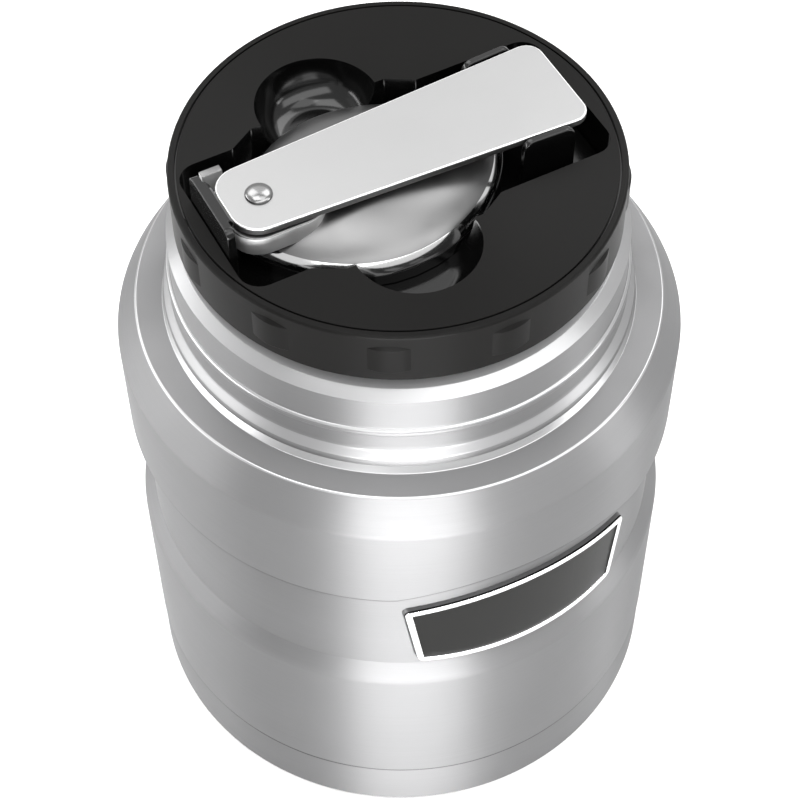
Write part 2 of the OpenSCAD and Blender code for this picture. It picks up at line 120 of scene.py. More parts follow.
class JarSizes(PropertyGroup):
    """Sizes of the steel jar."""
    segments: IntProperty(
        name="Segments", description="Number of steps round a turned piece", default=240, min=48)
    sheet: length("Sheet", "Thickness of the steel sheet", 0.7)
    waist_depth: length("Waist depth", "How far the waist lies inside the body", 2.1)
    waist_low: length("Waist foot", "Height of the waist's lower edge", 47.5)
    waist_high: length("Waist top", "Height of the band's lower edge", 70.2)
    step_high: length("Step height", "Height of the slope under the waist", 3.3)
    step_round: length("Step round", "Rounding of the foot of the slope under the waist", 3)
    seam_round: length("Seam round", "Rounding of the edges at the base seam", 0.25)
    band_round: length("Band round", "Rounding of the band's lower edge", 0.6)
    slope_low: length("Slope foot", "Height of the shoulder slope's foot", 88.7)
    slope_in: length("Slope width", "How far the slope's upper edge lies inside the band", 3.5)
    slope_round: length("Slope round", "Rounding of the slope's foot", 2)
    edge_round: length("Edge round", "Rounding of the slope's upper edge", 0.6)
    ring_high: length("Ring height", "Height of the flat ring on the shoulder", 94.9)
    ring_width: length("Ring inner edge", "Distance from the neck to the flat ring", 2)
    ridge_high: length("Ridge height", "Height of the turned ridge's centre", 97)
    ridge_round: length("Ridge round", "Radius of the turned ridge", 1.5)
    bead_high: length("Bead height", "Height of the neck bead's centre", 103.05)
    bead_round: length("Bead round", "Radius of the neck bead", 0.8)
    arch_width: length("Arch width", "Width of the arch over the badge", 45)
    arch_rise: length("Arch rise", "Rise of the arch over the badge", 3.8)
    arch_blend: length("Arch blend", "Softness of the arch's two feet", 0.15)
    lip_width: length("Lip width", "Width of the lip's bevel", 1.8)
    mouth_wall: length("Mouth wall", "Distance from the mouth to the neck's outside", 4)
    mouth_depth: length("Mouth depth", "Depth of the mouth down to the sealing ledge", 14.6)
    ledge: length("Ledge", "Width of the sealing ledge", 1.6)
    foot_width: length("Foot width", "Width of the foot ring", 5)
    foot_lift: length("Foot lift", "Height of the hollow inside the foot ring", 2)
    foot_round: length("Foot round", "Rounding of the base's lower edge", 1.2)


class BadgeSizes(PropertyGroup):
    """Sizes of the badge on the waist."""
    low_width: length("Lower width", "Width along the badge's lower edge", 37.6)
    side: length("Side", "Height of the badge's sides", 15.3)
    rim: length("Rim", "Width of the bright frame", 1.1)
    drop: length("Drop", "How far the inlay lies below the frame", 0.4)
    corner: length("Corner", "Rounding of the badge's corners", 1.3)
    edge: length("Edge", "Rounding of the frame's edges", 0.22)
    # The dark line is painted shadow: it stands for the shade in the gap along the frame's side.
    shadow_line: length("Side line", "Height of the dark line round the frame's side", 0.5)
    strip: length("Strip", "Width of a straight strip of the bent badge", 1.2)


class StopperSizes(PropertyGroup):
    """Sizes of the moulded stopper."""
    top_round: length("Top round", "Rounding of the stopper's upper edge", 0.8)
    skirt: length("Skirt", "Thickness of the skirt", 1.4)
    groove_in: length("Groove", "Distance from the rim to the fine groove in the top", 1.3)
    groove_wide: length("Groove width", "Width of the fine groove", 0.28)
    groove_deep: length("Groove depth", "Depth of the fine groove", 0.5)
    grips: IntProperty(name="Grips", description="Number of grip pads", default=12, min=1)
    grip_wide: length("Grip width", "Width of a grip pad", 6.4)
    grip_high: length("Grip height", "Height of a grip pad's face", 5)
    grip_foot: length("Grip foot", "Height of a pad's face above the skirt's lower edge", 2.4)
    grip_proud: length("Grip proud", "How far a pad's middle stands off the skirt", 0.5)
    grip_slope: length("Grip slope", "Height of a pad's slopes above and below its face", 0.6)
    pocket_left: length("Pocket left", "Distance from the axis to the pocket's hook end", 31.9)
    pocket_right: length("Pocket right", "Distance from the axis to its other end", 31.4)
    pocket_width: length("Pocket width", "Width of the pocket", 27.4)
    waist_width: length("Pocket waist", "Width of the pocket at the finger dishes", 32.6)
    waist_length: length("Waist length", "Length of the pocket's wide middle", 23.4)
    flare: length("Flare", "Length over which the pocket widens", 4.4)
    pocket_round: length("Pocket round", "Rounding of the pocket's corners", 3.5)
    pocket_depth: length("Pocket depth", "Depth of the pocket", 7.6)
    dish_radius: length("Dish radius", "Radius of a finger dish", 10)
    dish_floor: length("Dish floor", "Radius of a finger dish's flat floor", 5)
    dish_depth: length("Dish depth", "Depth of a finger dish", 6.8)
    dish_out: length("Dish offset", "Distance from the pocket's middle line to a dish", 16.5)
    dish_left: length("Dish shift", "How far the dishes lie to the hook's side", 5.6)
    edge: length("Edge", "Rounding of the moulding's edges", 0.32)
    clip_round: length("Clip round", "Rounding of a clip's upper corners", 1.8)
    clip_thick: length("Clip thickness", "Thickness of a side clip", 1.1)
    hook_thick: length("Hook thickness", "Thickness of the end hook's plate", 1.3)
    hook_round: length("Hook round", "Rounding of the hook's upper corners", 1.5)
    tongue_width: length("Tongue width", "Width of the hook's tongue", 8.8)
    tongue_thick: length("Tongue thickness", "Thickness of the hook's tongue", 1.6)
    insert_edge: length("Insert edge", "Rounding of the clips' and the hook's edges", 0.24)
    cradle_edge: length("Cradle edge", "Rounding of the cradle's edges", 0.15)


class SpoonSizes(PropertyGroup):
    """Sizes of the folding spoon."""
    near_half: length("Near half width", "Half width of the handle's end at the pivot", 6.59)
    far_half: length("Far half width", "Half width of the handle's tip", 9.387)
    near_round: length("Near round", "Rounding of the handle's corners at the pivot", 4.5)
    far_round: length("Far round", "Rounding of the handle's corners at the tip", 2.8)
    edge: length("Edge", "Rounding of the handle's edges", 0.22)
    hole: length("Hole", "Radius of the hole for the rivet", 1.55)
    head: length("Rivet head", "Radius of the rivet's domed head", 2.15)
    head_high: length("Head height", "Height of the rivet's dome", 0.9)
    bowl_left: length("Bowl left", "Distance from the bowl's widest place to its pivot end", 22)
    bowl_tip: length("Bowl tip", "Distance from the handle's tip to the bowl's", 11.2)
    bowl_depth: length("Bowl depth", "Depth of the bowl", 6.7)
    rim: length("Rim", "Height of the bowl's upright edge", 0.2)
    # The band round the rim is partly real polish and partly a painted highlight: its steel is much brighter than
    # the bowl's.
    rim_highlight: length("Bright rim", "Height of the brighter polish round the rim", 2.1)
    sheet: length("Sheet", "Thickness of the bowl's steel", 0.8)
    tang_length: length("Tang length", "Length of the raised tang", 15.5)
    tang_half: length("Tang half width", "Half width of the raised tang", 7.15)
    tang_thick: length("Tang thickness", "Height of the raised tang", 3.4)
    tang_round: length("Tang round", "Rounding of the tang's corners", 4.6)
    tang_edge: length("Tang edge", "Rounding of the tang's upper edge", 0.3)
    tab_length: length("Tab length", "Length of the stop tab", 3.4)
    tab_thick: length("Tab thickness", "Thickness of the stop tab", 1.3)
    tab_edge: length("Tab edge", "Rounding of the stop tab's edges", 0.15)


class Finishes(PropertyGroup):
    """Colours and gloss of the materials."""
    body: paint("Body steel", "Colour of the satin steel body", (0.2, 0.2, 0.202))
    body_rough: FloatProperty(
        name="Body roughness", description="Roughness of the satin steel", default=0.5,
        min=0.0, max=1.0, subtype="FACTOR")
    handle: paint("Handle steel", "Colour of the spoon's handle", (0.29, 0.29, 0.29))
    bowl: paint("Bowl steel", "Colour of the spoon's bowl", (0.15, 0.15, 0.15))
    rivet: paint("Rivet steel", "Colour of the rivet's polished head", (0.2, 0.2, 0.2))
    moulded: paint("Stopper black", "Colour of the stopper", (0.004, 0.0038, 0.0036))
    pocket: paint("Pocket black", "Colour of the glossy pocket", (0.002, 0.002, 0.002))
    inlay: paint("Badge inlay", "Colour of the badge's inlay", (0.01, 0.01, 0.0095))
    chrome: paint("Badge frame", "Colour of the badge's bright frame", (0.86, 0.86, 0.87))


class Studio(PropertyGroup):
    """The camera and the light."""
    lens: FloatProperty(
        name="Lens", description="Focal length of the camera", default=94.19, min=1.0,
        unit="CAMERA")
    distance: length("Distance", "Distance of the camera from its aim", 371.3)
    aim: length("Aim", "Height of the point the camera looks at", 62.2)
    azimuth: bearing("Azimuth", "Turn of the camera round the jar", -27.52)
    elevation: bearing("Elevation", "Height of the camera above the horizon", 52.92)
    roll: bearing("Roll", "Turn of the camera about its own axis", -0.48)
    sky: radiance("Sky", "Strength of the even light from all sides", 0.4)
    front: radiance("Front", "Radiance of the strip light in front", 50.0)
    left: radiance("Left", "Radiance of the strip light on the left", 3.0)
    side: radiance("Side", "Radiance of the strip light left of the front", 1.5)
    right: radiance("Right", "Radiance of the strip light on the right", 6.0)
    rear: radiance("Rear", "Radiance of the two soft lights behind the sides", 4.0)
    slope: radiance("Slope", "Radiance of the two lights for the slopes' gloss", 8.0)
    bevel: radiance("Bevel", "Radiance of the light for the lip bevel's gloss", 0.3)
    back: radiance("Back", "Radiance of the large soft light behind", 1.0)
    top: radiance("Top", "Radiance of the two small soft lights overhead", 4.5)
    over: radiance("Over", "Radiance of the soft light above the front", 3.6)
    strip_high: length("Strip height", "Height of the strip lights' upper edge", 85)
    strip_away: length("Strip distance", "Distance of the strip lights from the axis", 600)


# ---- Outlines ----

FILLET_STEPS = 6
SIDE_SHARE = 0.49  # most of a side that the round at one of its ends may take


def arc(centre, radius, start, end, steps):
    """Points of an arc, its angles in degrees."""
    angles = [math.radians(start + (end - start) * i / steps) for i in range(steps + 1)]
    return [(centre[0] + radius * math.cos(a), centre[1] + radius * math.sin(a)) for a in angles]


def fillet(before, corner, after, radius):
    """Points of the round in the corner of two straight lines."""
    c = Vector(corner)
    to_a, to_b = Vector(before) - c, Vector(after) - c
    half = to_a.angle(to_b) / 2
    reach = min(
        radius / math.tan(half), to_a.length * SIDE_SHARE, to_b.length * SIDE_SHARE)
    a, b = c + to_a.normalized() * reach, c + to_b.normalized() * reach
    middle = c + (to_a.normalized() + to_b.normalized()).normalized() * (reach / math.cos(half))
    r = (a - middle).length
    start = math.atan2(a.y - middle.y, a.x - middle.x)
    turn = math.atan2(b.y - middle.y, b.x - middle.x) - start
    turn = (turn + math.pi) % FULL_TURN - math.pi
    angles = [start + turn * i / FILLET_STEPS for i in range(FILLET_STEPS + 1)]
    return [(middle.x + r * math.cos(t), middle.y + r * math.sin(t)) for t in angles]


def outline(*items):
    """Closed outline from corners (x, y, rounding) and lists of ready points."""
    ends = [(i[0], i[-1]) if isinstance(i, list) else (i[:2], i[:2]) for i in items]
    points = []
    for n, item in enumerate(items):
        if isinstance(item, list):
            points += item
        elif item[2] > 0:
            points += fillet(ends[n - 1][1], item[:2], ends[(n + 1) % len(items)][0], item[2])
        else:
            points.append(item[:2])
    return points


# ---- Meshes ----

def linked(name, bm):
    """A new object in the scene, with a bmesh as its mesh."""
    mesh = bpy.data.meshes.new(name)
    bm.to_mesh(mesh)
    bm.free()
    made = bpy.data.objects.new(name, mesh)
    bpy.context.scene.collection.objects.link(made)
    return made


def finished(name, bm, materials, body, replaced, angle=30, even=False):
    """Makes a piece of a bmesh, gives it its finish and seats it on its body. Even shading
    weights the normals by face area, so that flats stay flat beside their rounds."""
    piece = linked(name, bm)
    piece.data.shade_smooth()
    piece.data.set_sharp_from_angle(angle=math.radians(angle))
    for material in materials:
        piece.data.materials.append(material)
    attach(piece, body)
    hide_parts(*replaced)
    if even:
        modifier = piece.modifiers.new("even shading", "WEIGHTED_NORMAL")
        modifier.keep_sharp = True
        modifier.weight = 80


def turned(profile, segments, centre=(0, 0)):
    """A closed profile of (radius, height) spun about an upright axis."""
    bm = bmesh.new()
    verts = [bm.verts.new((r, 0, z)) for r, z in profile]
    edges = [bm.edges.new((verts[i - 1], verts[i])) for i in range(len(verts))]
    bmesh.ops.spin(
        bm, geom=verts + edges, cent=(0, 0, 0), axis=(0, 0, 1), angle=FULL_TURN,
        steps=segments, use_merge=True)
    bmesh.ops.remove_doubles(bm, verts=bm.verts, dist=POLE_MERGE)
    bmesh.ops.recalc_face_normals(bm, faces=bm.faces)
    bmesh.ops.translate(bm, vec=(*centre, 0), verts=bm.verts)
    return bm


def slab(points, bottom, top):
    """A flat outline in x and y raised between two heights."""
    bm = bmesh.new()
    face = bm.faces.new([bm.verts.new((x, y, bottom)) for x, y in points])
    raised = bmesh.ops.extrude_face_region(bm, geom=[face])
    verts = [v for v in raised["geom"] if isinstance(v, bmesh.types.BMVert)]
    bmesh.ops.translate(bm, vec=(0, 0, top - bottom), verts=verts)
    bmesh.ops.recalc_face_normals(bm, faces=bm.faces)
    return bm


def soften(bm, width, keep=lambda edge: True):
    """Rounds the sharp edges that a test keeps."""
    flat, sharp = math.radians(0.05), math.radians(25)
    bmesh.ops.dissolve_limit(bm, angle_limit=flat, verts=bm.verts, edges=bm.edges)
    edges = [e for e in bm.edges
             if len(e.link_faces) == 2 and e.calc_face_angle() > sharp and keep(e)]
    bmesh.ops.bevel(
        bm, geom=edges, offset=width, offset_type="OFFSET", affect="EDGES", segments=3,
        profile=0.5, material=-1, clamp_overlap=True)


def combined(bm, tools, operation):
    """Cuts bmesh tools out of a bmesh, or joins them to it."""
    body = linked("helper", bm)
    for tool in tools:
        other = linked("helper", tool)
        modifier = body.modifiers.new(operation, "BOOLEAN")
        modifier.operation = operation
        modifier.solver = "EXACT"
        modifier.object = other
    evaluated = body.evaluated_get(bpy.context.evaluated_depsgraph_get())
    result = bmesh.new()
    result.from_mesh(evaluated.to_mesh())
    for modifier in list(body.modifiers):
        bpy.data.objects.remove(modifier.object)
    bpy.data.objects.remove(body)
    bmesh.ops.remove_doubles(result, verts=result.verts, dist=MERGE)
    return result


# ---- Materials ----

NOISE_RANGE = (0.3, 0.7)  # nearly all of a noise texture's values lie between these


def give(socket, value):
    """Wires a node's output to a socket, or sets the socket's own value."""
    if isinstance(value, bpy.types.NodeSocket):
        socket.id_data.links.new(value, socket)
    else:
        socket.default_value = value


def add_node(tree, kind, sockets, **settings):
    """Adds a shader node and gives its sockets their values."""
    made = tree.nodes.new("ShaderNode" + kind)
    for key, value in settings.items():
        setattr(made, key, value)
    for key, value in sockets.items():
        give(made.inputs[key], value)
    return made


def seen_rays(tree):
    """1 for rays from the eye, a reflection or a clear piece, and 0 for all other rays."""
    path = add_node(tree, "LightPath", {})
    seen = path.outputs["Is Camera Ray"]
    for kind in ("Is Glossy Ray", "Is Transmission Ray"):
        larger = add_node(tree, "Math", {0: seen, 1: path.outputs[kind]}, operation="MAXIMUM")
        seen = larger.outputs[0]
    return seen


class Shader:
    """A material with one Principled shader, and short ways to wire its nodes."""

    def __init__(self, name, colour, roughness, metallic=0.0):
        self.material = bpy.data.materials.get(name) or bpy.data.materials.new(name)
        self.material.use_nodes = True
        self.tree = self.material.node_tree
        self.tree.nodes.clear()
        self.main = add_node(self.tree, "BsdfPrincipled", {
            "Base Color": (*colour, 1.0), "Roughness": roughness, "Metallic": metallic})
        add_node(self.tree, "OutputMaterial", {"Surface": self.main.outputs["BSDF"]})

    def set(self, socket, value):
        """Sets or wires a socket of the Principled shader."""
        give(self.main.inputs[socket], value)

    def where(self):
        """The place on the piece, in Object coordinates."""
        return add_node(self.tree, "TexCoord", {}).outputs["Object"]

    def noise(self, scale, detail):
        """Noise over the piece, its scale given for each axis."""
        stretched = add_node(self.tree, "Mapping", {"Vector": self.where(), "Scale": scale})
        return add_node(self.tree, "TexNoise", {
            "Vector": stretched.outputs["Vector"], "Scale": 1.0, "Detail": detail,
            "Roughness": 0.5}).outputs["Fac"]

    def vary(self, source, least, most):
        """Lets a texture move the roughness between two values."""
        spread = add_node(self.tree, "MapRange", {
            "Value": source, "From Min": NOISE_RANGE[0], "From Max": NOISE_RANGE[1],
            "To Min": least, "To Max": most})
        self.set("Roughness", spread.outputs["Result"])

    def tint(self, source, colour, dark, bright):
        """Lets a texture move the colour between a darker and a brighter one."""
        ramp = add_node(self.tree, "ValToRGB", {"Fac": source})
        for end, position, factor in zip(ramp.color_ramp.elements, NOISE_RANGE, (dark, bright)):
            end.position = position
            end.color = (*shade(colour, factor), 1.0)
        self.set("Base Color", ramp.outputs["Color"])

    def bump(self, source, height):
        """Raises the surface by a texture, up to a height in metres."""
        relief = add_node(
            self.tree, "Bump", {"Height": source, "Strength": 1.0, "Distance": height})
        self.set("Normal", relief.outputs["Normal"])

    def grain_round_axis(self, amount):
        """Stretches the gloss across lines that run round the upright axis."""
        self.set("Anisotropic", amount)
        self.set("Anisotropic Rotation", 0.25)
        along = add_node(
            self.tree, "VectorMath", {0: (0, 0, 1), 1: self.where()}, operation="CROSS_PRODUCT")
        self.set("Tangent", along.outputs["Vector"])


def shade(colour, factor):
    """A colour made darker or brighter."""
    return tuple(min(1.0, c * factor) for c in colour)


def turned_steel(name, colour, roughness, anisotropy):
    """Satin steel with fine lines running round the jar."""
    s = Shader(name, colour, roughness, metallic=1.0)
    lines = s.noise((60, 60, 14000), detail=3.0)
    s.tint(s.noise((45, 45, 30), detail=2.0), colour, 0.975, 1.025)
    s.vary(lines, roughness - 0.03, roughness + 0.03)
    s.bump(lines, 0.0012 * MM)
    s.set("Specular Tint", (0.6, 0.6, 0.6, 1.0))
    s.grain_round_axis(anisotropy)
    return s.material


def brushed_handle(name, colour, roughness):
    """Satin steel brushed along X."""
    s = Shader(name, colour, roughness, metallic=1.0)
    lines = s.noise((90, 9000, 9000), detail=3.0)
    s.tint(s.noise((60, 60, 60), detail=2.0), colour, 0.985, 1.015)
    s.vary(lines, roughness - 0.03, roughness + 0.03)
    s.bump(lines, 0.0008 * MM)
    return s.material


def polished_steel(name, colour, roughness):
    """Bright steel with a faint unevenness."""
    s = Shader(name, colour, roughness, metallic=1.0)
    haze = s.noise((220, 220, 220), detail=3.0)
    s.tint(haze, colour, 0.98, 1.02)
    s.vary(haze, roughness * 0.9, roughness * 1.1)
    return s.material


def moulded_plastic(name, colour, roughness, gloss, grain, anisotropy=0.0):
    """Black plastic with a fine moulded grain, its height in millimetres."""
    s = Shader(name, colour, roughness)
    s.set("Specular IOR Level", gloss)
    s.grain_round_axis(anisotropy)
    fine = s.noise((5200, 5200, 5200), detail=2.0)
    s.tint(s.noise((40, 40, 40), detail=2.0), colour, 0.9, 1.12)
    s.vary(fine, roughness - 0.02, roughness + 0.02)
    s.bump(fine, grain * MM)
    return s.material


def soft_plastic(name, colour, roughness, pores):
    """Matte silicone or foam with small pores."""
    s = Shader(name, colour, roughness)
    fine = s.noise((pores, pores, pores), detail=3.0)
    s.tint(fine, colour, 0.92, 1.05)
    s.bump(fine, 0.02 * MM)
    return s.material


def body_steels(f):
    """The jar's satin steel, and the same made darker as painted shade in the seams and under the band's edge."""
    return [turned_steel(name, shade(f.body, factor), f.body_rough, anisotropy=0.87)
            for name, factor in (("satin_steel", 1), ("seam_shade_steel", 0.4))]


def pocket_gloss(f):
    """The glossy black of the pocket and of what is moulded in it."""
    return moulded_plastic("pocket_gloss", f.pocket, roughness=0.14, gloss=0.35, grain=0.0004)


# ---- Pieces of the jar ----

class JARDRESS_OT_outer_shell(Operator):
    """Turns the outer steel shell, with its waist, band, shoulder ridges and neck"""
    bl_idname = "jardress.outer_shell"
    bl_label = "Outer shell"

    def execute(self, context):
        s = context.scene.jar_sizes
        f = context.scene.jar_finishes
        body = high("outer_shell").x
        waist = body - s.waist_depth
        neck = neck_radius()
        foot, weld = low("outer_shell").z, high("shell_neck").z
        step = s.waist_low - s.step_high
        arch_high = s.waist_high + s.arch_rise
        ring_foot = (neck + s.ring_width, s.ring_high, 0.25 * MM)
        ridge = (neck + 0.2 * MM, s.ridge_high)
        hollow = (neck + 0.35 * MM, s.ridge_high + 2.15 * MM, 1.6 * MM)
        bead_foot = (neck + 0.3 * MM, s.bead_high - s.bead_round, 0.2 * MM)
        bead = (neck - 0.1 * MM, s.bead_high)
        bead_top = (neck, s.bead_high + s.bead_round + 0.25 * MM, 0.12 * MM)
        bm = turned(outline(
            (body, foot, s.seam_round),
            (body, step, s.step_round),
            (waist, s.waist_low, 0),
            (waist, s.waist_high, 0),
            (body, s.waist_high, s.band_round),
            (body, s.slope_low, s.slope_round),
            (body - s.slope_in, s.ring_high, s.edge_round),
            ring_foot,
            arc(ridge, s.ridge_round, -50, 40, 14),
            hollow,
            bead_foot,
            arc(bead, s.bead_round, -50, 72, 10),
            bead_top,
            (neck, weld, 0),
            (neck - s.sheet, weld, 0),
            (neck - s.sheet, s.ring_high - s.sheet, 0),
            (body - s.slope_in - s.sheet, s.ring_high - s.sheet, 0),
            (body - s.sheet, s.slope_low, 0),
            (body - s.sheet, arch_high + 2 * s.sheet, 0),
            (waist - s.sheet, arch_high + s.sheet, 0),
            (waist - s.sheet, s.waist_low - s.sheet, 0),
            (body - s.sheet, step - s.sheet, 0),
            (body - s.sheet, foot, 0)), s.segments)
        self.share_out(bm, s, foot, waist)
        self.raise_arch(bm, s, waist)
        # The edge and ridge steels are brighter, glossier copies of the satin steel: painted highlights on the
        # turned edges and the ridge.
        steels = body_steels(f) + [
            turned_steel("turned_edge_highlight", shade(f.body, 1.8), roughness=0.3, anisotropy=0.0),
            turned_steel("ridge_highlight_steel", shade(f.body, 1.4), roughness=0.42, anisotropy=0.6)]
        finished("steel_shell", bm, steels, "jar", ["outer_shell", "shell_neck"])
        return {"FINISHED"}

    @staticmethod
    def share_out(bm, s, foot, waist):
        """Paints shade into the seams and under the band, and highlights on the turned edges and the ridge"""
        satin, seam, edge, ridge = range(4)
        leaning, shallow = 0.5, 0.65  # upward part of the normal
        for face in bm.faces:
            spot = face.calc_center_median()
            up = face.normal.z
            # painted shade: the faces round the band's lower edge and at the foot seam take the darker seam steel
            shaded_under_band = abs(spot.z - s.waist_high) < s.band_round and spot.xy.length > waist + NEAR
            face.material_index = seam if shaded_under_band or spot.z < foot + s.seam_round else satin
            # painted highlight: the sloping rounds of the shoulder and the ridge take the brighter steels
            if spot.z > s.slope_low and leaning < up < LEVEL:
                on_ridge = s.ridge_high < spot.z < s.bead_high - s.bead_round
                face.material_index = ridge if on_ridge else edge if up > shallow else satin

    @staticmethod
    def raise_arch(bm, s, waist):
        """Lifts the band's lower edge to an arch over the badge"""
        radius = (s.arch_width ** 2 / 4 + s.arch_rise ** 2) / (2 * s.arch_rise)
        reach = s.band_round + NEAR
        for v in bm.verts:
            on_step = abs(v.co.z - s.waist_high) < reach and v.co.xy.length > waist - NEAR
            if on_step and v.co.y < 0 and abs(v.co.x) < radius:
                rise = math.sqrt(radius ** 2 - v.co.x ** 2) - radius + s.arch_rise
                v.co.z += (rise + math.hypot(rise, s.arch_blend)) / 2


class JARDRESS_OT_base_cup(Operator):
    """Turns the steel cup under the seam at the foot"""
    bl_idname = "jardress.base_cup"
    bl_label = "Base cup"

    def execute(self, context):
        s = context.scene.jar_sizes
        outer, seam = high("base_cup").x, high("base_cup").z
        thicker, hollow_round, ring_round = 0.1 * MM, 0.8 * MM, 0.6 * MM
        wall = s.sheet + thicker
        hollow = outer - s.foot_round - s.foot_width
        bm = turned(outline(
            (0, s.foot_lift, 0),
            (hollow - s.foot_lift, s.foot_lift, hollow_round),
            (hollow, 0, ring_round),
            (outer, 0, s.foot_round),
            (outer, seam, s.seam_round),
            (outer - wall, seam, 0),
            (outer - wall, s.foot_round + wall, 0),
            (outer - s.foot_round - wall, wall, 0),
            (hollow + wall / 2, wall, 0),
            (hollow - s.foot_lift + wall / 2, s.foot_lift + wall, 0),
            (0, s.foot_lift + wall, 0)), s.segments)
        # painted shade: the faces at the seam take the darker seam steel
        for face in bm.faces:
            face.material_index = int(face.calc_center_median().z > seam - s.seam_round)
        steels = body_steels(context.scene.jar_finishes)
        finished("steel_base", bm, steels, "jar", ["base_cup"])
        return {"FINISHED"}


class JARDRESS_OT_inner_flask(Operator):
    """Turns the inner flask with its lip and mouth"""
    bl_idname = "jardress.inner_flask"
    bl_label = "Inner flask"

    def execute(self, context):
        s = context.scene.jar_sizes
        f = context.scene.jar_finishes
        neck, t = neck_radius(), s.sheet
        lip, weld = high("inner_flask").z, high("shell_neck").z
        mouth = neck - s.mouth_wall
        wide, floor = high("inner_flask").x - t, low("inner_flask").z + t
        ledge_r, ledge_z = mouth - s.ledge, lip - s.mouth_depth
        floor_round = 6 * MM
        shoulder = ledge_z - 9 * MM
        cone_r, cone_z = ledge_r + 1.2 * MM, ledge_z - 3.2 * MM
        ledge_foot = ledge_z - 2 * MM
        bm = turned(outline(
            (0, floor, 0),
            (wide, floor, floor_round),
            (wide, shoulder, 3 * MM),
            (cone_r, cone_z, 2 * MM),
            (ledge_r, ledge_foot, 0.5 * MM),
            (ledge_r, ledge_z, 0.3 * MM),
            (mouth, ledge_z, 0),
            (mouth, lip, 0.25 * MM),
            (neck - s.lip_width, lip, 0.2 * MM),
            (neck, weld, 0),
            (mouth + t, weld, 0),
            (mouth + t, ledge_z - t, 0),
            (ledge_r + t, ledge_z - t, 0),
            (ledge_r + t, ledge_foot + t / 2, 0),
            (cone_r + t / 2, cone_z + t, 0),
            (wide + t, shoulder + t / 2, 0),
            (wide + t, floor + floor_round, 0),
            arc((wide - floor_round, floor + floor_round), floor_round + t, 0, -90, 8),
            (0, floor - t, 0)), s.segments)
        # The flask takes a brighter copy of the satin steel, a painted highlight on the lip's bevel. Its flat top
        # is brighter still: painted light over the dark reflection of the stopper above it.
        for face in bm.faces:
            face.material_index = int(face.calc_center_median().z > lip - NEAR)
        steels = [
            turned_steel("lip_highlight_steel", shade(f.body, 1.6), roughness=0.32, anisotropy=0.5),
            turned_steel("lip_top_painted_light", shade(f.body, 2.6), roughness=0.75, anisotropy=0.0)]
        finished("steel_flask", bm, steels, "jar", ["inner_flask"])
        return {"FINISHED"}


class JARDRESS_OT_badge(Operator):
    """Bends the badge's bright frame and its bare dark inlay round the waist"""
    bl_idname = "jardress.badge"
    bl_label = "Badge"

    def execute(self, context):
        b = context.scene.badge_sizes
        f = context.scene.jar_finishes
        waist = high("outer_shell").x - context.scene.jar_sizes.waist_depth
        proud = -low("badge_frame").y - waist
        points = self.flat_outline(b)
        rim = self.swept(points, outline(
            (0, 0, 0), (0, proud - b.shadow_line, 0), (0, proud, b.edge), (b.rim, proud, b.edge),
            (b.rim, 0, 0)))
        self.bend(rim, b, waist)
        grain = 0.0006
        finishes = [
            polished_steel("badge_chrome", f.chrome, roughness=0.16),
            turned_steel("badge_foot", f.body, f.body_rough, anisotropy=0.0),
            # the line over the frame's foot is painted dark as the shade under the frame's edge
            moulded_plastic("badge_shadow_line", f.inlay, roughness=0.5, gloss=0.0, grain=grain)]
        finished("badge_rim", rim, finishes, "jar", ["badge_frame"], 50)

        plate = slab(self.drawn_in(points, b.rim), 0, proud - b.drop)
        upright = Matrix.Rotation(math.pi / 2, 3, "X")
        bmesh.ops.rotate(plate, matrix=upright, verts=plate.verts)
        self.bend(plate, b, waist)
        dark = moulded_plastic("badge_paint", f.inlay, roughness=0.32, gloss=0.06, grain=grain)
        finished("badge_plate", plate, [dark], "jar", ["badge_inlay"], 40)
        return {"FINISHED"}

    @staticmethod
    def flat_outline(b):
        """The badge's outline in x and z before it is bent"""
        box_low, box_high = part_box("badge_frame")
        lost_in_round = 0.1 * MM
        half_top = box_high.x + lost_in_round
        side = box_low.z + b.side
        rise = box_high.z - side
        radius = (half_top ** 2 + rise ** 2) / (2 * rise)
        half_angle = math.degrees(math.asin(half_top / radius))
        top = arc((0, side + rise - radius), radius, 90 - half_angle, 90 + half_angle, 14)
        return outline(
            (-b.low_width / 2, box_low.z, b.corner),
            (b.low_width / 2, box_low.z, b.corner),
            (*top[0], b.corner),
            top[1:-1],
            (*top[-1], b.corner))

    @staticmethod
    def drawn_in(points, amount):
        """An outline moved inwards by an amount"""
        moved = []
        for n, (x, z) in enumerate(points):
            before, after = points[n - 1], points[(n + 1) % len(points)]
            a = Vector((x - before[0], z - before[1])).normalized()
            b = Vector((after[0] - x, after[1] - z)).normalized()
            along = (a + b).normalized()
            reach = amount / max(along.dot(a), 0.5)
            moved.append((x - along.y * reach, z + along.x * reach))
        return moved

    @classmethod
    def swept(cls, points, section):
        """A closed section of (inwards, outwards) carried round an outline; its second and third
        faces, the foot and the painted shadow line over it, have finishes of their own"""
        bm = bmesh.new()
        rails = [[bm.verts.new((x, -outwards, z)) for x, z in cls.drawn_in(points, inwards)]
                 for inwards, outwards in section]
        for i, rail in enumerate(rails):
            for n in range(len(points)):
                face = bm.faces.new((rails[i - 1][n - 1], rail[n - 1], rail[n], rails[i - 1][n]))
                face.material_index = i if i < 3 else 0
        bmesh.ops.recalc_face_normals(bm, faces=bm.faces)
        return bm

    @staticmethod
    def bend(bm, b, waist):
        """Cuts a flat piece into strips and lays it on the round waist"""
        half = -low("badge_frame").x
        count = math.ceil(2 * half / b.strip)
        for i in range(1, count):
            bmesh.ops.bisect_plane(
                bm, geom=[*bm.verts, *bm.edges, *bm.faces],
                plane_co=(-half + 2 * half * i / count, 0, 0), plane_no=(1, 0, 0))
        for v in bm.verts:
            v.co.y = -math.sqrt((waist - v.co.y) ** 2 - v.co.x ** 2)


# ---- Pieces of the stopper ----

